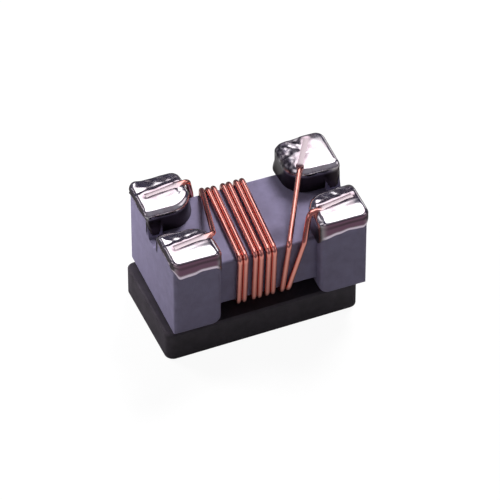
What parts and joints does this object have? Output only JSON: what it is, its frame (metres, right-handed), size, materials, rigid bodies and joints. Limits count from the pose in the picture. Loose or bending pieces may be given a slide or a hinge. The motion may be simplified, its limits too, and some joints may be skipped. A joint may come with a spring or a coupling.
{
  "type": "smd common mode choke",
  "caption": "Tiny surface-mount common mode choke: ferrite drum core with a twin copper winding, tin-capped feet and a glued ferrite cover plate.",
  "frame": {"origin": "on the cover plate's lower face, under the middle of the drum core", "axes": "+X along the core's bar, +Y across it, +Z from the cover plate up to the four solder pads"},
  "size_m": [0.0021, 0.0012, 0.0013],
  "materials": {
    "core_ferrite": "sintered matte ferrite, grey with a violet cast",
    "plate_ferrite": "sintered matte ferrite, near black",
    "adhesive": "cured dark epoxy",
    "tin": "bright reflowed tin",
    "enamelled_copper": "copper wire under clear glossy enamel"
  },
  "bodies": {
    "root": {"ferrite_core": "core_ferrite", "cover_plate": "plate_ferrite", "glue_bond_left": "adhesive", "glue_bond_right": "adhesive", "terminal_front_left": "tin", "terminal_back_left": "tin", "terminal_back_right": "tin", "terminal_front_right": "tin", "winding_first": "enamelled_copper", "winding_second": "enamelled_copper"}
  },
  "joints": []
}
